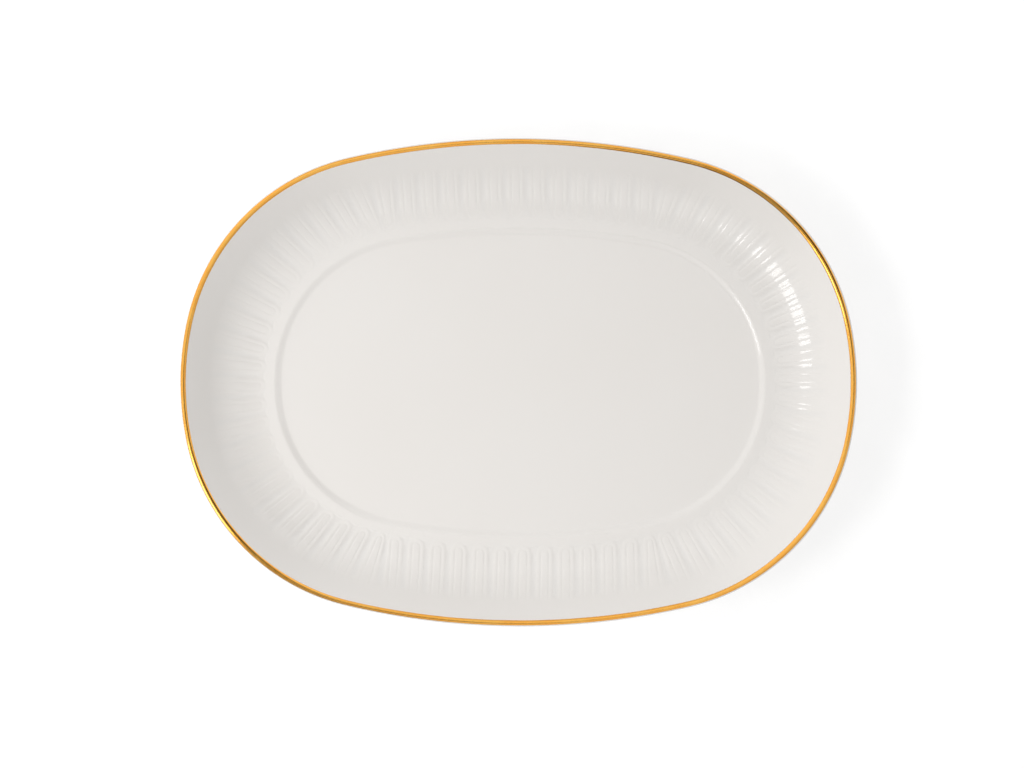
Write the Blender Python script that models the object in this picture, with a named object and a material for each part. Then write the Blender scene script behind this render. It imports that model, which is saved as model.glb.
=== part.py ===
"""Oval china serving platter with a gilt lip, fluted sides and an unglazed foot.

Frame: the platter stands on z = 0, with its length along X and its width along Y.
The outline and the edge of the well are ovals of eight tangent arcs.  Every level in
between is the same blend of the two ovals, taken at equal normal directions, so the side
keeps an almost even width all round.  A profile is a list of (inset, height) points:
inset is measured inwards from the outline, and the well edge lies at an inset of WALL_RUN.
"""

import math

import bmesh
import bpy

MM = 0.001

# Outline, seen from above
LENGTH = 400.0 * MM
WIDTH = 288.0 * MM
OUTLINE_END_RADIUS = 173.5 * MM
OUTLINE_SIDE_RADIUS = 445.0 * MM
OUTLINE_CORNER_RADIUS = 126.3 * MM

# Edge of the well, seen from above
WELL_LENGTH = 286.4 * MM
WELL_WIDTH = 179.0 * MM
WELL_END_RADIUS = 116.0 * MM
WELL_SIDE_RADIUS = 430.0 * MM
WELL_CORNER_RADIUS = 82.0 * MM

# Side: a level ledge beside the well, a curve that steepens outwards, then a straight flare
WALL_RUN = 56.0 * MM
CURVE_START = 50.0 * MM
FLARE_RUN = 16.5 * MM
SLOPE_AT_LIP = math.radians(38.0)
WALL_AT_WELL = 5.0 * MM
LIP_THICKNESS = 4.2 * MM
# Insets in mm of the levels that carry the wall's two faces
INNER_FACE_LEVELS = (50.0, 45.0, 39.0, 33.0, 27.0, 21.5, 16.5)
OUTER_FACE_LEVELS = (12.0, 24.0, 36.0, 47.0)

# Well and its shallow step
FLOOR_HEIGHT = 10.0 * MM
STEP_HEIGHT = 1.2 * MM
STEP_RUN = 4.8 * MM

# Moulded flutes on the inside of the wall
FLUTE_COUNT = 72
FLUTE_RISE = 0.35 * MM
FLUTE_START = 16.0 * MM
FLUTE_END = 48.0 * MM

# Gilt line round the lip
GOLD_OUTER_INSET = 0.55 * MM
GOLD_INNER_INSET = 3.8 * MM
GOLD_THICKNESS = 0.3 * MM
GOLD_ARC_SHARES = (0.0, 0.25, 0.55, 1.0)

# Foot ring
FOOT_OUTER_INSET = 59.0 * MM
FOOT_ROOT_WIDTH = 6.4 * MM
FOOT_CONTACT_WIDTH = 3.2 * MM
FOOT_CHAMFER = 0.6 * MM
BASE_EDGE_INSET = 56.5 * MM

GAP = 0.3 * MM
SEGMENTS = 2 * FLUTE_COUNT
SMOOTH_LIMIT = math.radians(35.0)
LIP_ARC_SHARES = (0.0, 0.25, 0.5, 0.75)
ROUNDING = 1e-9

# Colours and roughness
GLAZE_COLOUR = (0.75, 0.73, 0.70)
GLAZE_ROUGHNESS = 0.12
GOLD_COLOUR = (0.98, 0.56, 0.14)
GOLD_ROUGHNESS = 0.15
BISCUIT_COLOUR = (0.80, 0.77, 0.71)
BISCUIT_ROUGHNESS = 0.75

# Values that follow from the ones above
BASE_HEIGHT = FLOOR_HEIGHT - WALL_AT_WELL
WALL_FOOT = FLOOR_HEIGHT + STEP_HEIGHT
LIP_RADIUS = LIP_THICKNESS / 2
CURVE_RADIUS = (CURVE_START - FLARE_RUN) / math.sin(SLOPE_AT_LIP)


def clear_scene():
    for thing in list(bpy.data.objects):
        bpy.data.objects.remove(thing, do_unlink=True)


# Ovals ---------------------------------------------------------------------------------


def oval_arcs(length, width, end_radius, side_radius, corner_radius):
    """The first quadrant of an oval of eight arcs: (centre x, centre y, radius, last angle)."""
    end_x = length / 2 - end_radius
    side_y = width / 2 - side_radius
    from_end = end_radius - corner_radius
    from_side = side_radius - corner_radius
    span = math.hypot(end_x, side_y)
    along = (from_side**2 - from_end**2 + span**2) / (2 * span)
    across = math.sqrt(from_side**2 - along**2)
    unit_x, unit_y = end_x / span, -side_y / span
    corner_x = unit_x * along - unit_y * across
    corner_y = side_y + unit_y * along + unit_x * across
    if corner_x < 0 or corner_y < 0:
        corner_x = unit_x * along + unit_y * across
        corner_y = side_y + unit_y * along - unit_x * across
    end_turn = math.atan2(corner_y, corner_x - end_x)
    side_turn = math.atan2(corner_y - side_y, corner_x)
    return [
        (end_x, 0.0, end_radius, end_turn),
        (corner_x, corner_y, corner_radius, side_turn),
        (0.0, side_y, side_radius, math.pi / 2),
    ]


def outline_arcs():
    return oval_arcs(LENGTH, WIDTH, OUTLINE_END_RADIUS, OUTLINE_SIDE_RADIUS, OUTLINE_CORNER_RADIUS)


def well_arcs():
    return oval_arcs(WELL_LENGTH, WELL_WIDTH, WELL_END_RADIUS, WELL_SIDE_RADIUS, WELL_CORNER_RADIUS)


def oval_point(arcs, angle):
    """The point of an oval whose outward normal points along angle."""
    cosine, sine = math.cos(angle), math.sin(angle)
    folded = math.atan2(abs(sine), abs(cosine))
    for centre_x, centre_y, radius, last in arcs:
        if folded <= last + ROUNDING:
            break
    x = centre_x + radius * math.cos(folded)
    y = centre_y + radius * math.sin(folded)
    return math.copysign(x, cosine), math.copysign(y, sine)


def radius_at(arcs, folded):
    return next(radius for _, _, radius, last in arcs if folded < last)


def even_angles(outline, well, blend, count):
    """Normal directions that divide the blended oval into equal lengths, from +X."""
    breaks = sorted({0.0} | {last for *_, last in outline} | {last for *_, last in well})
    stretches = []
    for low, high in zip(breaks, breaks[1:]):
        middle = (low + high) / 2
        radius = (1 - blend) * radius_at(outline, middle) + blend * radius_at(well, middle)
        stretches.append((low, high, radius))
    quarter = sum((high - low) * radius for low, high, radius in stretches)
    per_quarter = count // 4
    first = []
    for index in range(per_quarter):
        distance = quarter * index / per_quarter
        for low, high, radius in stretches:
            if distance <= (high - low) * radius:
                break
            distance -= (high - low) * radius
        first.append(low + distance / radius)
    half = first + [math.pi / 2] + [math.pi - angle for angle in reversed(first[1:])]
    return half + [angle + math.pi for angle in half]


# Profiles ------------------------------------------------------------------------------


def wall_surface(inset):
    """Height and slope of the inner face of the wall."""
    if inset <= FLARE_RUN:
        top_of_curve, _ = wall_surface(FLARE_RUN + ROUNDING)
        return top_of_curve + (FLARE_RUN - inset) * math.tan(SLOPE_AT_LIP), SLOPE_AT_LIP
    slope = math.asin(max(0.0, CURVE_START - inset) / CURVE_RADIUS)
    return WALL_FOOT + CURVE_RADIUS * (1 - math.cos(slope)), slope


def lip_centre():
    """The centre of the round lip, which touches the outline and both faces of the wall."""
    touch = LIP_RADIUS + LIP_RADIUS * math.sin(SLOPE_AT_LIP)
    height, _ = wall_surface(touch)
    return LIP_RADIUS, height - LIP_RADIUS * math.cos(SLOPE_AT_LIP)


def lip_point(tilt, depth=0.0):
    """A point of the lip whose normal leans outwards by tilt, sunk by depth."""
    centre_inset, centre_height = lip_centre()
    radius = LIP_RADIUS - depth
    return centre_inset - radius * math.sin(tilt), centre_height + radius * math.cos(tilt)


def wall_point(inset, depth=0.0):
    """A point of the wall's inner face, sunk by depth square to the face."""
    height, slope = wall_surface(inset)
    return inset + depth * math.sin(slope), height - depth * math.cos(slope)


def underside_point(inset):
    """A point of the wall's outer face, below the inner face's point at inset."""
    thinning = 1 - inset / WALL_RUN
    thickness = WALL_AT_WELL + (LIP_THICKNESS - WALL_AT_WELL) * thinning
    return wall_point(inset, thickness)


def gold_line(depth, margin):
    """The gilt stretch of the lip from the wall outwards, sunk by depth, widened by margin."""
    first_tilt = math.asin(1 - (GOLD_OUTER_INSET - margin) / LIP_RADIUS)
    points = [wall_point(GOLD_INNER_INSET + margin, depth)]
    for share in GOLD_ARC_SHARES:
        tilt = -SLOPE_AT_LIP + share * (first_tilt + SLOPE_AT_LIP)
        points.append(lip_point(tilt, depth))
    return points


def body_profile():
    """From the well floor up the wall, over the lip and back under to the base."""
    half_step = STEP_RUN / 2
    rebate = GOLD_THICKNESS + GAP
    points = [(WALL_RUN + half_step, FLOOR_HEIGHT)]
    points.append(wall_point(WALL_RUN - half_step))
    points.extend(wall_point(inset * MM) for inset in INNER_FACE_LEVELS)
    points.append(wall_point(GOLD_INNER_INSET + GAP))
    points.extend(gold_line(rebate, GAP))
    outer_tilt = math.asin(1 - (GOLD_OUTER_INSET - GAP) / LIP_RADIUS)
    for share in LIP_ARC_SHARES:
        tilt = outer_tilt + share * (math.pi - SLOPE_AT_LIP - outer_tilt)
        points.append(lip_point(tilt))
    points.append(underside_point(LIP_RADIUS * (1 + math.sin(SLOPE_AT_LIP))))
    points.extend(underside_point(inset * MM) for inset in OUTER_FACE_LEVELS)
    points.append((BASE_EDGE_INSET, BASE_HEIGHT))
    return points


def gold_profile():
    """The gilt line as a closed skin: its outer face, then its inner face back again."""
    return gold_line(0.0, 0.0) + list(reversed(gold_line(GOLD_THICKNESS, 0.0)))


def foot_profile():
    """A tapered foot, from its outer root down to the contact face and up its inner side."""
    root = BASE_HEIGHT - GAP
    middle = FOOT_OUTER_INSET + FOOT_ROOT_WIDTH / 2
    half_contact = FOOT_CONTACT_WIDTH / 2
    half_shoulder = half_contact + FOOT_CHAMFER
    return [
        (FOOT_OUTER_INSET, root),
        (middle - half_shoulder, FOOT_CHAMFER),
        (middle - half_contact, 0.0),
        (middle + half_contact, 0.0),
        (middle + half_shoulder, FOOT_CHAMFER),
        (FOOT_OUTER_INSET + FOOT_ROOT_WIDTH, root),
    ]


def flute_lift(inset, column):
    """The extra height of a moulded flute, which stands on every second column."""
    if column % 2 or not FLUTE_START < inset < FLUTE_END:
        return 0.0
    return FLUTE_RISE


# Solids --------------------------------------------------------------------------------


def add_ring(mesh, rails, inset, height, lifts):
    """One closed level of vertices at an inset from the outline."""
    blend = inset / WALL_RUN
    ring = []
    for ((outer_x, outer_y), (inner_x, inner_y)), lift in zip(rails, lifts):
        x = outer_x + (inner_x - outer_x) * blend
        y = outer_y + (inner_y - outer_y) * blend
        ring.append(mesh.verts.new((x, y, height + lift)))
    return ring


def join_rings(mesh, upper, lower):
    for index, vertex in enumerate(upper):
        after = (index + 1) % len(upper)
        mesh.faces.new((vertex, lower[index], lower[after], upper[after]))


def sweep(name, profile, rails, material, capped, fluted_levels=0):
    """Sweep a profile round the rails.  A capped profile is open and ends in two flat faces."""
    mesh = bmesh.new()
    rings = []
    for level, (inset, height) in enumerate(profile):
        lifts = [0.0] * len(rails)
        if level < fluted_levels:
            lifts = [flute_lift(inset, column) for column in range(len(rails))]
        rings.append(add_ring(mesh, rails, inset, height, lifts))
    for upper, lower in zip(rings, rings[1:]):
        join_rings(mesh, upper, lower)
    if capped:
        mesh.faces.new(rings[0])
        mesh.faces.new(rings[-1])
    else:
        join_rings(mesh, rings[-1], rings[0])
    bmesh.ops.recalc_face_normals(mesh, faces=mesh.faces)
    data = bpy.data.meshes.new(name)
    mesh.to_mesh(data)
    mesh.free()
    data.shade_smooth()
    data.set_sharp_from_angle(angle=SMOOTH_LIMIT)
    data.materials.append(material)
    piece = bpy.data.objects.new(name, data)
    bpy.context.scene.collection.objects.link(piece)
    return piece


def surface_material(name, colour, roughness, metallic=0.0):
    material = bpy.data.materials.new(name)
    material.use_nodes = True
    shader = material.node_tree.nodes["Principled BSDF"]
    shader.inputs["Base Color"].default_value = (*colour, 1.0)
    shader.inputs["Roughness"].default_value = roughness
    shader.inputs["Metallic"].default_value = metallic
    return material


def main():
    clear_scene()
    outline, well = outline_arcs(), well_arcs()
    flute_middle = (FLUTE_START + FLUTE_END) / 2 / WALL_RUN
    angles = even_angles(outline, well, flute_middle, SEGMENTS)
    rails = [(oval_point(outline, angle), oval_point(well, angle)) for angle in angles]

    glaze = surface_material("glazed_porcelain", GLAZE_COLOUR, GLAZE_ROUGHNESS)
    gilding = surface_material("burnished_gold", GOLD_COLOUR, GOLD_ROUGHNESS, metallic=1.0)
    biscuit = surface_material("unglazed_porcelain", BISCUIT_COLOUR, BISCUIT_ROUGHNESS)

    profile = body_profile()
    inner_levels = 1 + next(level for level, point in enumerate(profile) if point[0] < FLARE_RUN)
    sweep("porcelain_body", profile, rails, glaze, True, fluted_levels=inner_levels)
    sweep("gold_rim_band", gold_profile(), rails, gilding, False)
    sweep("foot_ring", foot_profile(), rails, biscuit, False)


main()
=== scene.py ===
"""The looks of an oval china serving platter: glaze, moulded flutes, gilt line and bare foot.

A profile runs outwards from the well as (inset, height): inset is measured inwards from the
platter's outline, and the edge of the well lies at an inset of WALL_RUN.  Each level of the
surface is a blend of the outline oval and the well oval at equal normal directions.
"""

import math

import bmesh
import bpy
import numpy as np
from mathutils import Matrix, Vector


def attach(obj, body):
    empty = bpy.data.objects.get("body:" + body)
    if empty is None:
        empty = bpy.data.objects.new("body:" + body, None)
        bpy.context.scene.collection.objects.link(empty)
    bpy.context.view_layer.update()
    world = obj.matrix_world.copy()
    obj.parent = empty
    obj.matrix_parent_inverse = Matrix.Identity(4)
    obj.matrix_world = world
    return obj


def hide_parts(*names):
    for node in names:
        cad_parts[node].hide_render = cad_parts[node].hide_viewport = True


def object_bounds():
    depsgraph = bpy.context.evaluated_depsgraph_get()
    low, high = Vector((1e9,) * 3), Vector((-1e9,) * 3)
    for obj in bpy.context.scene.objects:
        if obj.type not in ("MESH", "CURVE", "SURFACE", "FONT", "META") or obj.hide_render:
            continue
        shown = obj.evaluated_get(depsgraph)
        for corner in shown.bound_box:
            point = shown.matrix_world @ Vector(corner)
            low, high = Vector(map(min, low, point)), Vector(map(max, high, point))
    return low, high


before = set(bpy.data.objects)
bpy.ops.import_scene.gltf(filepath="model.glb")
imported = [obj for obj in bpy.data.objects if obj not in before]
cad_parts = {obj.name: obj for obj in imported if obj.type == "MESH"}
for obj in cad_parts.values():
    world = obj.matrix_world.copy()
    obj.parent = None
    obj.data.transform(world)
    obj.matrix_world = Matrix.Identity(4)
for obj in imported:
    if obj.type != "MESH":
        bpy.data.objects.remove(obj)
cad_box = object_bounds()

MM = 0.001
CAD_LOW, CAD_HIGH = (np.array(corner) for corner in cad_box)

# Plan: the outline and the well edge are ovals of eight tangent arcs
LENGTH, WIDTH, RIM_HEIGHT = CAD_HIGH - CAD_LOW
OUTLINE_END_RADIUS = 173.5 * MM
OUTLINE_SIDE_RADIUS = 445.0 * MM
OUTLINE_CORNER_RADIUS = 126.3 * MM
WELL_LENGTH = 286.4 * MM
WELL_WIDTH = 179.0 * MM
WELL_END_RADIUS = 116.0 * MM
WELL_SIDE_RADIUS = 430.0 * MM
WELL_CORNER_RADIUS = 82.0 * MM

# Section: a level ledge beside the well, a curve that steepens outwards, a straight flare
# and a round lip
WALL_RUN = 56.0 * MM
CURVE_START = 50.0 * MM
FLARE_RUN = 16.5 * MM
SLOPE_AT_LIP = math.radians(38.0)
WALL_AT_WELL = 5.0 * MM
LIP_RADIUS = 2.1 * MM
FLOOR_HEIGHT = 10.0 * MM
STEP_HEIGHT = 1.2 * MM
STEP_RUN = 4.8 * MM
WALL_FOOT = FLOOR_HEIGHT + STEP_HEIGHT
CURVE_RADIUS = (CURVE_START - FLARE_RUN) / math.sin(SLOPE_AT_LIP)
BASE_HEIGHT = FLOOR_HEIGHT - WALL_AT_WELL
FLOOR_WAVE = 0.06 * MM
FLOOR_WAVE_X = 41.0 * MM
FLOOR_WAVE_Y = 33.0 * MM
FLOOR_WAVE_START = 0.6

# Moulded flutes: a tongue with a bead round its inner end, a hollow and a dart between units
FLUTE_COUNT = 72
FLUTE_SHIFT = 0.2
FLUTE_PITCH = 13.2 * MM
FLUTE_OUTER_END = 15.4 * MM
FLUTE_INNER_END = 48.8 * MM
FLUTE_ARC_CENTRE = 43.9 * MM
TONGUE_RISE = 0.16 * MM
TONGUE_TOP = 1.55 * MM
TONGUE_EDGE = 2.45 * MM
TONGUE_CROWN = 0.12
TONGUE_CROWN_REACH = 2.0 * MM
BEAD_RISE = 0.10 * MM
BEAD_MIDDLE = 3.8 * MM
BEAD_HALF_WIDTH = 1.15 * MM
BEAD_FULLNESS = 0.8
HOLLOW_DEPTH = 0.22 * MM
HOLLOW_START = 4.4 * MM
HOLLOW_END_FADE = 1.2 * MM
DART_RISE = 0.15 * MM
DART_LENGTH = 4.8 * MM
DART_HALF_WIDTH = 1.7 * MM
DART_SOFTNESS = 0.3 * MM
DART_FADE_START = FLUTE_INNER_END - 0.6 * MM
DART_FADE_END = FLUTE_INNER_END + 0.2 * MM
OUTER_FADE = 1.8 * MM
INNER_FADE = 0.6
INNER_FADE_START = 31.0 * MM
INNER_FADE_END = 46.0 * MM
POOL_LEVEL = 0.04 * MM
POOL_RANGE = 0.22 * MM
POOL_FADE_END = 20.0 * MM
FLUTE_STOPS = (0.75, 1.4, 1.75, 2.0, 2.25, 2.5, 2.75, 3.0, 3.3, 3.9, 4.5, 4.8, 5.15)

# Gilt line and bare foot
GOLD_OUTER_INSET = 0.55 * MM
GOLD_INNER_INSET = 3.8 * MM
GOLD_PROUD = 0.03 * MM
GOLD_BURIED = 0.01 * MM
GOLD_WALL_SHARES = (0.0, 0.5, 1.0)
GOLD_LIP_SHARES = np.linspace(0.12, 1.0, 8)
ACROSS_MIDDLE = 0.5
SKIN_DEPTH = 0.25 * MM
FOOT_OUTER_INSET = 59.0 * MM
FOOT_ROOT_WIDTH = 6.4 * MM
FOOT_CONTACT_WIDTH = 3.2 * MM
BARE_SINK = 0.08 * MM
BAND_SINK = 3 * BARE_SINK

# How far the gilt line's inner edge wanders, then each wave's cycles, share and start
GOLD_WANDER = 0.10 * MM
GOLD_WAVES = ((7, 0.5, 0.0), (19, 0.3, 1.1), (43, 0.2, 0.4))

# Section of the foot in mm: offset from its root and height from the base, outside then
# inside, and for its tip the offset from the contact band's edge and the height from the ground
FOOT_OUTSIDE = ((-2.2, 0.05), (-0.9, -0.35), (-0.1, -1.1), (0.45, -2.2))
FOOT_INSIDE = ((-0.45, -2.2), (0.1, -1.1), (0.9, -0.35), (2.4, 0.0))
FOOT_TIP = ((0.55, 1.1), (0.4, 0.55), (0.15, 0.18), (-0.2, 0.0))

# Levels of the body: shares of the floor's and the base's plan, insets in mm along the
# section, close together where the moulding ends, and tilts in degrees round the lip
FLOOR_SHARES = (0.12, 0.25, 0.38, 0.5, 0.62, 0.73, 0.83, 0.91, 0.97)
STEP_LEVELS = 9
LEDGE_LEVELS = (53.4, 52.2, 51.0)
FLUTE_INNER_LEVELS = np.arange(49.8, 43.3, -0.4)
FLUTE_MIDDLE_LEVELS = np.linspace(43.0, 18.4, 11)
FLUTE_OUTER_LEVELS = (17.6, 17.1, 16.6, 16.1, 15.6, 15.2)
BORDER_LEVELS = (14.0, 12.8, 11.0, 9.0, 7.2, 5.8, 4.8, 4.0)
LIP_TILTS = range(-38, 143, 12)
UNDERSIDE_LEVELS = (5.0, 8.0, 12.0, 17.0, 23.0, 30.0, 37.0, 44.0, 49.0, 52.5)
BASE_SHARES = (0.9, 0.7, 0.45, 0.2)

# Finishes: each surface's colours, its lowest and highest roughness, and how much shows
GLAZE_WARM = (0.738, 0.711, 0.680)
GLAZE_PALE = (0.746, 0.721, 0.692)
GLAZE_POOLED = (0.695, 0.683, 0.664)
GLAZE_ROUGHNESS = (0.075, 0.12)
GLAZE_IOR = 1.5
POOL_STRENGTH = 0.30
GOLD_DEEP = (1.0, 0.47, 0.085)
GOLD_BRIGHT = (1.0, 0.53, 0.115)
GOLD_THIN = (0.93, 0.40, 0.09)
GOLD_ROUGHNESS = (0.10, 0.22)
THIN_STRENGTH = 0.55
THIN_ROUGHENING = 0.10
EDGE_RAGGEDNESS = 0.10
BISCUIT_STAINED = (0.70, 0.65, 0.56)
BISCUIT_CLEAN = (0.78, 0.74, 0.67)
SCUFF_GREY = (0.52, 0.49, 0.45)
BISCUIT_ROUGHNESS = (0.68, 0.9)
FLOOR_DARK = (0.35, 0.35, 0.35)
FLOOR_PALE = (0.37, 0.37, 0.37)
FLOOR_ROUGHNESS = (0.86, 0.94)
BACKDROP = (0.92, 0.92, 0.92)

# Studio: the sky's level and its gain towards the far side, then each dark flag's azimuth,
# elevation, fully dark radius and outer radius in degrees, and how much light it takes
SKY_LEVEL = 0.918
FAR_GLOW = 0.17
DARK_FLAGS = (
    (40.0, 70.0, 12.0, 19.0, 0.97),
    (42.0, 48.0, 10.0, 17.0, 0.90),
    (228.0, 69.0, 9.0, 15.0, 0.95),
    (240.0, 14.0, 12.0, 28.0, 0.93),
    (100.0, 25.0, 12.0, 30.0, 0.30),
    (335.0, 25.0, 15.0, 50.0, 0.28),
)
FLOOR_EMISSION = 0.68
FLOOR_HALF_SIZE = 3.0
FLOOR_DROP = 0.1 * MM

# Softboxes: azimuth, elevation and distance, then width and height, then radiance
KEY_PLACE = (191.0, 48.0, 1.3)
KEY_SIZE = (1.2, 0.45)
KEY_RADIANCE = 4.18
GLOSS_PLACE = (203.0, 47.0, 2.0)
GLOSS_SIZE = (0.55, 0.54)
GLOSS_RADIANCE = 5.6

# Camera: nearly straight above, with its small leans and roll
VIEW_WIDTH = 603.4 * MM
CAMERA_DISTANCE = 8.0
CAMERA_AIM = (-3.4 * MM, -1.1 * MM)
LEAN_RIGHT = math.radians(3.1)
LEAN_NEAR = math.radians(0.8)
CAMERA_ROLL = math.radians(0.22)
SENSOR_WIDTH = 36.0
CLIP_END = 20.0

# How many columns of the flute grid a level uses: every one, every 4th or every 8th
FINE, MEDIUM, COARSE = 1, 4, 8


# Plan ----------------------------------------------------------------------------------


def oval_arcs(length, width, end_radius, side_radius, corner_radius):
    """The first quadrant of an oval of eight arcs: (centre x, centre y, radius, last angle)."""
    end_x = length / 2 - end_radius
    side_y = width / 2 - side_radius
    from_end = end_radius - corner_radius
    from_side = side_radius - corner_radius
    span = math.hypot(end_x, side_y)
    along = (from_side**2 - from_end**2 + span**2) / (2 * span)
    across = math.sqrt(from_side**2 - along**2)
    unit_x, unit_y = end_x / span, -side_y / span
    corner_x = unit_x * along + unit_y * across
    corner_y = side_y + unit_y * along - unit_x * across
    end_turn = math.atan2(corner_y, corner_x - end_x)
    side_turn = math.atan2(corner_y - side_y, corner_x)
    return [
        (end_x, 0.0, end_radius, end_turn),
        (corner_x, corner_y, corner_radius, side_turn),
        (0.0, side_y, side_radius, math.pi / 2),
    ]


def outline_arcs():
    return oval_arcs(LENGTH, WIDTH, OUTLINE_END_RADIUS, OUTLINE_SIDE_RADIUS, OUTLINE_CORNER_RADIUS)


def well_arcs():
    return oval_arcs(WELL_LENGTH, WELL_WIDTH, WELL_END_RADIUS, WELL_SIDE_RADIUS, WELL_CORNER_RADIUS)


def oval_points(arcs, angles):
    """The points of an oval whose outward normals point along the angles."""
    cosine, sine = np.cos(angles), np.sin(angles)
    folded = np.arctan2(abs(sine), abs(cosine))
    which = np.searchsorted([last for *_, last in arcs[:-1]], folded)
    centre_x, centre_y, radius, _ = np.array(arcs)[which].T
    x = centre_x + radius * np.cos(folded)
    y = centre_y + radius * np.sin(folded)
    return np.stack([np.copysign(x, cosine), np.copysign(y, sine)], axis=1)


def angles_at(shares, blend):
    """Normal directions at the given shares of the blended oval's length, from +X."""
    outline, well = outline_arcs(), well_arcs()
    breaks = sorted({0.0} | {last for *_, last in outline} | {last for *_, last in well})
    lengths = [0.0]
    for low, high in zip(breaks, breaks[1:]):
        radii = []
        for arcs in (outline, well):
            radii.append(next(radius for _, _, radius, last in arcs if (low + high) / 2 < last))
        lengths.append(lengths[-1] + (high - low) * ((1 - blend) * radii[0] + blend * radii[1]))
    quarters = np.mod(shares, 1.0) * 4
    quadrant = np.floor(quarters)
    within = quarters - quadrant
    backwards = quadrant % 2 == 1
    distance = np.where(backwards, 1 - within, within) * lengths[-1]
    folded = np.interp(distance, lengths, breaks)
    return quadrant * math.pi / 2 + np.where(backwards, math.pi / 2 - folded, folded)


def flute_columns():
    """Each column's share of the way round and its distance from the middle of its unit."""
    half = np.array(FLUTE_STOPS) * MM
    stops = np.concatenate([[-FLUTE_PITCH / 2], -half[::-1], [0.0], half])
    units = np.arange(FLUTE_COUNT)[:, None] + FLUTE_SHIFT
    shares = (units + stops[None, :] / FLUTE_PITCH) / FLUTE_COUNT
    return shares.ravel(), np.tile(abs(stops), FLUTE_COUNT)


COLUMN_SHARES, COLUMN_OFFSETS = flute_columns()
FLUTE_MIDDLE = (FLUTE_OUTER_END + FLUTE_INNER_END) / 2 / WALL_RUN
COLUMN_ANGLES = angles_at(COLUMN_SHARES, FLUTE_MIDDLE)
OUTLINE_RAIL = oval_points(outline_arcs(), COLUMN_ANGLES)
WELL_RAIL = oval_points(well_arcs(), COLUMN_ANGLES)


# Section -------------------------------------------------------------------------------


def wall_surface(inset):
    """Height and slope of the plain inner face of the wall."""
    if inset <= FLARE_RUN:
        height, _ = wall_surface(FLARE_RUN + 1e-9)
        return height + (FLARE_RUN - inset) * math.tan(SLOPE_AT_LIP), SLOPE_AT_LIP
    slope = math.asin(max(0.0, CURVE_START - inset) / CURVE_RADIUS)
    return WALL_FOOT + CURVE_RADIUS * (1 - math.cos(slope)), slope


def wall_point(inset, rise=0.0):
    """A point of the wall's inner face, lifted square to the face."""
    height, slope = wall_surface(inset)
    return inset - rise * math.sin(slope), height + rise * math.cos(slope)


LIP_TOUCH = LIP_RADIUS * (1 + math.sin(SLOPE_AT_LIP))
LIP_CENTRE_HEIGHT = wall_surface(LIP_TOUCH)[0] - LIP_RADIUS * math.cos(SLOPE_AT_LIP)


def lip_point(tilt, rise=0.0):
    """A point of the lip whose normal leans outwards by tilt."""
    radius = LIP_RADIUS + rise
    return LIP_RADIUS - radius * math.sin(tilt), LIP_CENTRE_HEIGHT + radius * math.cos(tilt)


def underside_point(inset):
    """A point of the wall's outer face, below the inner face's point at inset."""
    thickness = WALL_AT_WELL + (2 * LIP_RADIUS - WALL_AT_WELL) * (1 - inset / WALL_RUN)
    return wall_point(inset, -thickness)


def smooth_step(value, low, high):
    share = np.clip((value - low) / (high - low), 0.0, 1.0)
    return share * share * (3 - 2 * share)


def flute_relief(offset, inset):
    """Height of the moulding over the plain wall, for offsets from a unit's middle."""
    beyond = max(inset - FLUTE_ARC_CENTRE, 0.0)
    reach = np.hypot(offset, beyond)
    tongue = TONGUE_RISE * (1 - smooth_step(reach, TONGUE_TOP, TONGUE_EDGE))
    tongue *= 1 - TONGUE_CROWN * (reach / TONGUE_CROWN_REACH) ** 2
    bead = np.clip(1 - ((reach - BEAD_MIDDLE) / BEAD_HALF_WIDTH) ** 2, 0.0, 1.0)
    bead = bead**BEAD_FULLNESS * BEAD_RISE
    hollow = np.clip((reach - HOLLOW_START) / (FLUTE_PITCH / 2 - HOLLOW_START), 0.0, 1.0)
    hollow_end = smooth_step(inset, FLUTE_INNER_END - HOLLOW_END_FADE, FLUTE_INNER_END)
    hollow = -HOLLOW_DEPTH * hollow * (1 - hollow_end)
    from_gap = FLUTE_PITCH / 2 - offset
    share = 1 - (FLUTE_INNER_END - inset) / DART_LENGTH
    dart = np.zeros_like(reach)
    if share > 0:
        half_width = DART_HALF_WIDTH * share
        side = smooth_step(from_gap, half_width - DART_SOFTNESS, half_width + DART_SOFTNESS)
        dart = DART_RISE * (1 - side) * (1 - smooth_step(inset, DART_FADE_START, DART_FADE_END))
    outer_fade = smooth_step(inset, FLUTE_OUTER_END, FLUTE_OUTER_END + OUTER_FADE)
    inner_fade = 1 - INNER_FADE * smooth_step(inset, INNER_FADE_START, INNER_FADE_END)
    return (np.maximum(tongue, 0.0) + bead + hollow + dart) * outer_fade * inner_fade


# Surfaces ------------------------------------------------------------------------------


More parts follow.
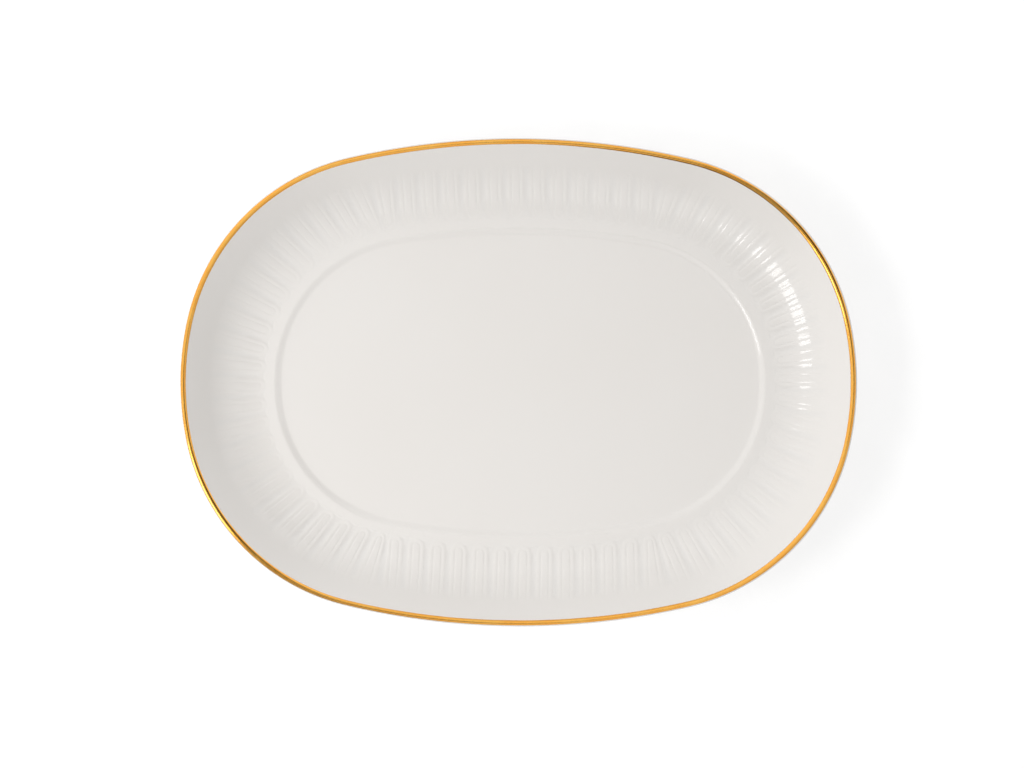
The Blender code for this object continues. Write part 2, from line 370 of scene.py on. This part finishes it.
class Shell:
    """Levels of vertices round the platter, joined into one closed surface."""

    def __init__(self):
        self.points = []
        self.faces = []
        self.marks = []
        self.count = 0
        self.last = None

    def level(self, step, inset, height, mark=0.0):
        """Adds a level and joins it to the one before.  All but step may vary by column."""
        outer, inner = OUTLINE_RAIL[::step], WELL_RAIL[::step]
        blend = np.broadcast_to(np.asarray(inset) / WALL_RUN, len(outer))[:, None]
        plan = outer + (inner - outer) * blend
        self.add(np.column_stack([plan, np.broadcast_to(height, len(outer))]), mark)

    def add(self, points, mark=0.0):
        row = np.arange(self.count, self.count + len(points))
        self.points.append(points)
        self.marks.append(np.broadcast_to(mark, len(points)))
        self.count += len(points)
        if self.last is not None:
            self.join(self.last, row)
        self.last = row

    def join(self, one, two):
        if len(one) == len(two):
            self.faces.extend(zip(one, two, np.roll(two, -1), np.roll(one, -1)))
            return
        if len(one) == 1 or len(two) == 1:
            tip, ring = (one, two) if len(one) == 1 else (two, one)
            self.faces.extend((tip[0], a, b) for a, b in zip(ring, np.roll(ring, -1)))
            return
        fine, wide = (one, two) if len(one) > len(two) else (two, one)
        ratio = len(fine) // len(wide)
        for index, corner in enumerate(wide):
            after = wide[(index + 1) % len(wide)]
            stretch = [fine[(index * ratio + k) % len(fine)] for k in range(ratio + 1)]
            middle = ratio // 2
            for k in range(ratio):
                self.faces.append((stretch[k], stretch[k + 1], corner if k < middle else after))
            self.faces.append((stretch[middle], after, corner))

    def close(self):
        first = np.arange(len(self.points[0]))
        self.join(self.last, first)

    def piece(self, name, material, mark_name=None):
        """The mesh as an object, with its marks as a vertex attribute for the material."""
        data = bpy.data.meshes.new(name)
        points = np.concatenate(self.points)
        data.from_pydata(points.tolist(), [], [tuple(int(i) for i in face) for face in self.faces])
        mesh = bmesh.new()
        mesh.from_mesh(data)
        bmesh.ops.recalc_face_normals(mesh, faces=mesh.faces)
        mesh.to_mesh(data)
        mesh.free()
        if mark_name:
            attribute = data.attributes.new(mark_name, "FLOAT", "POINT")
            attribute.data.foreach_set("value", np.concatenate(self.marks).astype(np.float32))
        data.shade_smooth()
        data.materials.append(material)
        made = bpy.data.objects.new(name, data)
        bpy.context.scene.collection.objects.link(made)
        return made


def body_levels(shell):
    """The glazed body, from the middle of the well over the lip to the middle of the base."""
    floor_inset = WALL_RUN + STEP_RUN / 2
    edge = OUTLINE_RAIL + (WELL_RAIL - OUTLINE_RAIL) * floor_inset / WALL_RUN
    shell.add(np.array([[0.0, 0.0, FLOOR_HEIGHT]]))
    for share in FLOOR_SHARES:
        plan = edge[::MEDIUM] * share
        wave = np.sin(plan[:, 0] / FLOOR_WAVE_X + FLOOR_WAVE_START)
        wave = wave * np.cos(plan[:, 1] / FLOOR_WAVE_Y) * FLOOR_WAVE
        wave *= 1 - share**3
        shell.add(np.column_stack([plan, FLOOR_HEIGHT + wave]))
    step_top, step_top_height = wall_point(WALL_RUN - STEP_RUN / 2)
    for share in np.linspace(0, 1, STEP_LEVELS):
        inset = floor_inset + (step_top - floor_inset) * share
        rise = smooth_step(share, 0.0, 1.0) * (step_top_height - FLOOR_HEIGHT)
        shell.level(MEDIUM, inset, FLOOR_HEIGHT + rise)
    for inset in LEDGE_LEVELS:
        shell.level(MEDIUM, *wall_point(inset * MM))
    flute_levels = np.concatenate([FLUTE_INNER_LEVELS, FLUTE_MIDDLE_LEVELS, FLUTE_OUTER_LEVELS])
    for inset in flute_levels * MM:
        relief = flute_relief(COLUMN_OFFSETS, inset)
        height, slope = wall_surface(inset)
        pool = np.clip((POOL_LEVEL - relief) / POOL_RANGE, 0.0, 1.0)
        pool = pool * smooth_step(inset, FLUTE_OUTER_END, POOL_FADE_END)
        shell.level(FINE, inset - relief * math.sin(slope), height + relief * math.cos(slope), pool)
    for inset in BORDER_LEVELS:
        shell.level(MEDIUM, *wall_point(inset * MM))
    for degrees in LIP_TILTS:
        shell.level(MEDIUM, *lip_point(math.radians(degrees)))
    for inset in UNDERSIDE_LEVELS:
        shell.level(COARSE, *underside_point(inset * MM))
    foot_levels(shell)


def foot_levels(shell):
    """Down the outside of the foot, across its bare face, up its inside and over the base."""
    root = FOOT_OUTER_INSET
    inner_root = root + FOOT_ROOT_WIDTH
    section = [(root + out * MM, BASE_HEIGHT + up * MM) for out, up in FOOT_OUTSIDE]
    section += foot_tip(BARE_SINK)
    section += [(inner_root + out * MM, BASE_HEIGHT + up * MM) for out, up in FOOT_INSIDE]
    for inset, height in section:
        shell.level(COARSE, inset, height)
    base_inset = section[-1][0]
    edge = OUTLINE_RAIL + (WELL_RAIL - OUTLINE_RAIL) * base_inset / WALL_RUN
    for share in BASE_SHARES:
        plan = edge[::COARSE] * share
        shell.add(np.column_stack([plan, np.full(len(plan), BASE_HEIGHT)]))
    shell.add(np.array([[0.0, 0.0, BASE_HEIGHT]]))


def foot_tip(sink):
    """The rounded end of the foot, from glaze line to glaze line, sunk into the foot."""
    middle = FOOT_OUTER_INSET + FOOT_ROOT_WIDTH / 2
    half = FOOT_CONTACT_WIDTH / 2
    outline = [(half + out * MM, height * MM) for out, height in FOOT_TIP]
    outer = [(middle - across + sink, height + sink) for across, height in outline]
    inner = [(middle + across - sink, height + sink) for across, height in reversed(outline)]
    return outer + inner


def gold_piece(material):
    """The gilt line: a thin skin that lies on the lip, with slightly hand-drawn edges."""
    shell = Shell()
    count = len(OUTLINE_RAIL[::MEDIUM])
    turn = np.arange(count) / count * 2 * math.pi
    waves = [share * np.sin(cycles * turn + start) for cycles, share, start in GOLD_WAVES]
    wander = GOLD_WANDER * sum(waves)
    outer_tilt = math.asin(1 - GOLD_OUTER_INSET / LIP_RADIUS)
    rows = []
    for share in GOLD_WALL_SHARES:
        inset = GOLD_INNER_INSET + (LIP_TOUCH - GOLD_INNER_INSET) * share
        rows.append((wall_point, inset, (1 - share) * wander))
    for share in GOLD_LIP_SHARES:
        rows.append((lip_point, -SLOPE_AT_LIP + share * (outer_tilt + SLOPE_AT_LIP), None))
    last = len(rows) - 1
    for index, (place, where, shift) in enumerate(rows):
        proud = GOLD_PROUD if 0 < index < last else -GOLD_BURIED
        inset, height = place(where, proud)
        across = index / last
        if shift is None:
            shell.level(MEDIUM, inset, height, across)
        else:
            shell.level(MEDIUM, inset + shift, height - shift * math.tan(SLOPE_AT_LIP), across)
    for place, where, shift in reversed(rows[1:-1]):
        shell.level(MEDIUM, *place(where, -SKIN_DEPTH), ACROSS_MIDDLE)
    shell.close()
    return shell.piece("gilt_line", material, "across")


def foot_piece(material):
    """The bare contact band of the foot."""
    shell = Shell()
    for inset, height in foot_tip(0.0) + list(reversed(foot_tip(BAND_SINK))):
        shell.level(COARSE, inset, height)
    shell.close()
    return shell.piece("bare_foot_band", material)


# Materials -----------------------------------------------------------------------------


class Nodes:
    """A material's node tree with short calls for adding and joining nodes."""

    def __init__(self, material):
        self.tree = material.node_tree
        self.shader = self.tree.nodes["Principled BSDF"]
        self.place = self.add("ShaderNodeTexCoord").outputs["Object"]

    def add(self, kind, **settings):
        node = self.tree.nodes.new(kind)
        for key, value in settings.items():
            setattr(node, key, value)
        return node

    def feed(self, socket, value):
        if isinstance(value, bpy.types.NodeSocket):
            self.tree.links.new(value, socket)
        else:
            socket.default_value = value

    def noise(self, scale, detail=2.0, stretch=(1.0, 1.0, 1.0)):
        """Cloudy values from 0 to 1 whose features are about 1 / scale metres across."""
        mapping = self.add("ShaderNodeMapping")
        mapping.inputs["Scale"].default_value = stretch
        self.feed(mapping.inputs["Vector"], self.place)
        cloud = self.add("ShaderNodeTexNoise")
        cloud.inputs["Scale"].default_value = scale
        cloud.inputs["Detail"].default_value = detail
        self.feed(cloud.inputs["Vector"], mapping.outputs["Vector"])
        return cloud.outputs["Fac"]

    def spread(self, value, low, high, to_low, to_high):
        """Value from low..high carried to to_low..to_high, smoothly and clamped."""
        node = self.add("ShaderNodeMapRange", interpolation_type="SMOOTHSTEP")
        for name, number in (("From Min", low), ("From Max", high), ("To Min", to_low), ("To Max", to_high)):
            node.inputs[name].default_value = number
        self.feed(node.inputs["Value"], value)
        return node.outputs["Result"]

    def sum(self, one, two, operation="ADD"):
        node = self.add("ShaderNodeMath", operation=operation)
        self.feed(node.inputs[0], one)
        self.feed(node.inputs[1], two)
        return node.outputs["Value"]

    def blend(self, factor, one, two):
        node = self.add("ShaderNodeMix", data_type="RGBA")
        self.feed(node.inputs[0], factor)
        self.feed(node.inputs[6], one if isinstance(one, bpy.types.NodeSocket) else (*one, 1.0))
        self.feed(node.inputs[7], two if isinstance(two, bpy.types.NodeSocket) else (*two, 1.0))
        return node.outputs[2]

    def attribute(self, name):
        return self.add("ShaderNodeAttribute", attribute_name=name).outputs["Fac"]

    def bump(self, height, distance, strength=1.0, under=None):
        node = self.add("ShaderNodeBump")
        node.inputs["Strength"].default_value = strength
        node.inputs["Distance"].default_value = distance
        self.feed(node.inputs["Height"], height)
        if under is not None:
            self.feed(node.inputs["Normal"], under)
        return node.outputs["Normal"]


def new_material(name, metallic=0.0):
    material = bpy.data.materials.new(name)
    material.use_nodes = True
    nodes = Nodes(material)
    nodes.shader.inputs["Metallic"].default_value = metallic
    return material, nodes


def glaze_material():
    """Warm white porcelain under clear glaze, with faint clouds and pooled hollows."""
    material, nodes = new_material("glazed_porcelain")
    clouds = nodes.spread(nodes.noise(9.0, 3.0), 0.3, 0.7, 0.0, 1.0)
    colour = nodes.blend(clouds, GLAZE_WARM, GLAZE_PALE)
    pooled = nodes.sum(nodes.attribute("glaze_pool"), POOL_STRENGTH, "MULTIPLY")
    colour = nodes.blend(pooled, colour, GLAZE_POOLED)
    nodes.feed(nodes.shader.inputs["Base Color"], colour)
    gloss = nodes.spread(nodes.noise(26.0, 4.0), 0.25, 0.75, *GLAZE_ROUGHNESS)
    nodes.feed(nodes.shader.inputs["Roughness"], gloss)
    nodes.shader.inputs["IOR"].default_value = GLAZE_IOR
    swell = nodes.bump(nodes.noise(95.0, 1.0), 0.05 * MM, 0.35)
    peel = nodes.bump(nodes.noise(850.0, 2.0), 0.006 * MM, 0.5, swell)
    nodes.feed(nodes.shader.inputs["Normal"], peel)
    return material


def gold_material():
    """Fired and burnished gold: brush streaks along the line, thinner and redder at its edges."""
    material, nodes = new_material("burnished_gold", metallic=1.0)
    across = nodes.attribute("across")
    from_middle = nodes.sum(across, ACROSS_MIDDLE, "SUBTRACT")
    edge = nodes.sum(from_middle, from_middle, "MULTIPLY")
    ragged = nodes.sum(nodes.noise(420.0, 3.0), EDGE_RAGGEDNESS, "MULTIPLY")
    thin = nodes.spread(nodes.sum(edge, ragged), 0.19, 0.30, 0.0, 1.0)
    clouds = nodes.spread(nodes.noise(60.0, 3.0), 0.3, 0.7, 0.0, 1.0)
    colour = nodes.blend(clouds, GOLD_DEEP, GOLD_BRIGHT)
    colour = nodes.blend(nodes.sum(thin, THIN_STRENGTH, "MULTIPLY"), colour, GOLD_THIN)
    nodes.feed(nodes.shader.inputs["Base Color"], colour)
    gloss = nodes.spread(nodes.noise(340.0, 4.0), 0.25, 0.8, *GOLD_ROUGHNESS)
    rougher = nodes.sum(thin, THIN_ROUGHENING, "MULTIPLY")
    nodes.feed(nodes.shader.inputs["Roughness"], nodes.sum(gloss, rougher))
    streaks = nodes.bump(nodes.noise(2600.0, 2.0), 0.004 * MM, 0.4)
    nodes.feed(nodes.shader.inputs["Normal"], nodes.bump(nodes.noise(300.0, 1.0), 0.02 * MM, 0.3, streaks))
    return material


def biscuit_material():
    """Bare fired clay: fine grain, warm mottling and grey scuffs from years on the table."""
    material, nodes = new_material("bare_biscuit")
    mottle = nodes.spread(nodes.noise(70.0, 4.0), 0.3, 0.7, 0.0, 1.0)
    colour = nodes.blend(mottle, BISCUIT_STAINED, BISCUIT_CLEAN)
    scuffs = nodes.spread(nodes.noise(240.0, 5.0, (1.0, 0.25, 1.0)), 0.58, 0.72, 0.0, 0.55)
    colour = nodes.blend(scuffs, colour, SCUFF_GREY)
    nodes.feed(nodes.shader.inputs["Base Color"], colour)
    worn = nodes.spread(nodes.noise(150.0, 3.0), 0.3, 0.7, *BISCUIT_ROUGHNESS)
    nodes.feed(nodes.shader.inputs["Roughness"], worn)
    grain = nodes.bump(nodes.noise(3200.0, 3.0), 0.05 * MM, 0.6)
    nodes.feed(nodes.shader.inputs["Normal"], nodes.bump(nodes.noise(400.0, 3.0), 0.08 * MM, 0.4, grain))
    return material


# Stage ---------------------------------------------------------------------------------


def add_floor():
    size = FLOOR_HALF_SIZE
    data = bpy.data.meshes.new("studio_floor")
    corners = [(-size, -size, 0.0), (size, -size, 0.0), (size, size, 0.0), (-size, size, 0.0)]
    data.from_pydata(corners, [], [(0, 1, 2, 3)])
    material, nodes = new_material("studio_floor")
    grain = nodes.spread(nodes.noise(40.0, 3.0), 0.3, 0.7, 0.0, 1.0)
    nodes.feed(nodes.shader.inputs["Base Color"], nodes.blend(grain, FLOOR_DARK, FLOOR_PALE))
    nodes.feed(nodes.shader.inputs["Roughness"], nodes.spread(grain, 0.0, 1.0, *FLOOR_ROUGHNESS))
    nodes.feed(nodes.shader.inputs["Normal"], nodes.bump(nodes.noise(900.0, 2.0), 0.02 * MM, 0.2))
    nodes.shader.inputs["Emission Color"].default_value = (1.0, 1.0, 1.0, 1.0)
    nodes.shader.inputs["Emission Strength"].default_value = FLOOR_EMISSION
    data.materials.append(material)
    floor = bpy.data.objects.new("studio_floor", data)
    floor.location.z = -FLOOR_DROP
    bpy.context.scene.collection.objects.link(floor)


def add_softbox(name, azimuth, elevation, distance, size, radiance, in_gloss=True):
    """A rectangular light that faces the platter, as wide and high as size."""
    data = bpy.data.lights.new(name, "AREA")
    data.shape = "RECTANGLE"
    data.size, data.size_y = size
    data.energy = radiance * math.pi * size[0] * size[1]
    lamp = bpy.data.objects.new(name, data)
    away = toward(azimuth, elevation)
    lamp.location = away * distance
    lamp.rotation_euler = away.to_track_quat("Z", "Y").to_euler()
    lamp.visible_camera = False
    lamp.visible_glossy = in_gloss
    bpy.context.scene.collection.objects.link(lamp)


def toward(azimuth, elevation):
    """The unit vector that points that way, in degrees from +X and from the floor."""
    turn, rise = math.radians(azimuth), math.radians(elevation)
    return Vector((math.cos(turn) * math.cos(rise), math.sin(turn) * math.cos(rise), math.sin(rise)))


def add_world():
    """Soft white surroundings with dark flags, and a plain pale backdrop for the camera."""
    world = bpy.data.worlds.new("studio")
    bpy.context.scene.world = world
    world.use_nodes = True
    tree = world.node_tree
    direction = tree.nodes.new("ShaderNodeTexCoord").outputs["Generated"]
    glow = along(tree, direction, (0.0, 1.0, 0.0))
    light = calculate(tree, calculate(tree, glow, FAR_GLOW, "MULTIPLY"), SKY_LEVEL, "ADD")
    for azimuth, elevation, inner, outer, depth in DARK_FLAGS:
        facing = along(tree, direction, toward(azimuth, elevation))
        shade = tree.nodes.new("ShaderNodeMapRange")
        shade.interpolation_type = "SMOOTHSTEP"
        shade.inputs["From Min"].default_value = math.cos(math.radians(outer))
        shade.inputs["From Max"].default_value = math.cos(math.radians(inner))
        shade.inputs["To Min"].default_value = 1.0
        shade.inputs["To Max"].default_value = 1.0 - depth
        tree.links.new(facing, shade.inputs["Value"])
        light = calculate(tree, light, shade.outputs["Result"], "MULTIPLY")
    studio = tree.nodes["Background"]
    studio.inputs["Color"].default_value = (1.0, 1.0, 1.0, 1.0)
    tree.links.new(light, studio.inputs["Strength"])
    backdrop = tree.nodes.new("ShaderNodeBackground")
    backdrop.inputs["Color"].default_value = (*BACKDROP, 1.0)
    choice = tree.nodes.new("ShaderNodeMixShader")
    tree.links.new(tree.nodes.new("ShaderNodeLightPath").outputs["Is Camera Ray"], choice.inputs["Fac"])
    tree.links.new(studio.outputs["Background"], choice.inputs[1])
    tree.links.new(backdrop.outputs["Background"], choice.inputs[2])
    tree.links.new(choice.outputs["Shader"], tree.nodes["World Output"].inputs["Surface"])


def along(tree, direction, axis):
    dot = tree.nodes.new("ShaderNodeVectorMath")
    dot.operation = "DOT_PRODUCT"
    dot.inputs[1].default_value = axis
    tree.links.new(direction, dot.inputs[0])
    return dot.outputs["Value"]


def calculate(tree, one, two, operation):
    node = tree.nodes.new("ShaderNodeMath")
    node.operation = operation
    for socket, value in zip(node.inputs, (one, two)):
        if isinstance(value, bpy.types.NodeSocket):
            tree.links.new(value, socket)
        else:
            socket.default_value = value
    return node.outputs["Value"]


def add_camera():
    """Looks almost straight down on the lip, from a little to the right."""
    aim = Vector((*CAMERA_AIM, RIM_HEIGHT))
    away = Vector((math.tan(LEAN_RIGHT), -math.tan(LEAN_NEAR), 1.0)).normalized()
    right = Vector((0.0, 1.0, 0.0)).cross(away).normalized()
    data = bpy.data.cameras.new("camera")
    data.sensor_width = SENSOR_WIDTH
    data.lens = data.sensor_width * CAMERA_DISTANCE / VIEW_WIDTH
    data.clip_end = CLIP_END
    camera = bpy.data.objects.new("camera", data)
    turned = Matrix((right, away.cross(right), away)).transposed().to_4x4()
    turned @= Matrix.Rotation(CAMERA_ROLL, 4, "Z")
    camera.matrix_world = Matrix.Translation(aim + away * CAMERA_DISTANCE) @ turned
    bpy.context.scene.collection.objects.link(camera)
    bpy.context.scene.camera = camera


def main():
    glaze, gold, biscuit = glaze_material(), gold_material(), biscuit_material()
    shell = Shell()
    body_levels(shell)
    body = shell.piece("platter_body", glaze, "glaze_pool")
    gilt = gold_piece(gold)
    foot = foot_piece(biscuit)
    for piece, node, slot in (
        (body, "porcelain_body", "glazed_porcelain"),
        (gilt, "gold_rim_band", "burnished_gold"),
        (foot, "foot_ring", "unglazed_porcelain"),
    ):
        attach(piece, "root")
        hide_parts(node)
    add_floor()
    add_world()
    add_softbox("key_softbox", *KEY_PLACE, KEY_SIZE, KEY_RADIANCE, in_gloss=False)
    add_softbox("gloss_softbox", *GLOSS_PLACE, GLOSS_SIZE, GLOSS_RADIANCE)
    add_camera()
    bpy.context.scene.view_settings.view_transform = "Standard"


main()
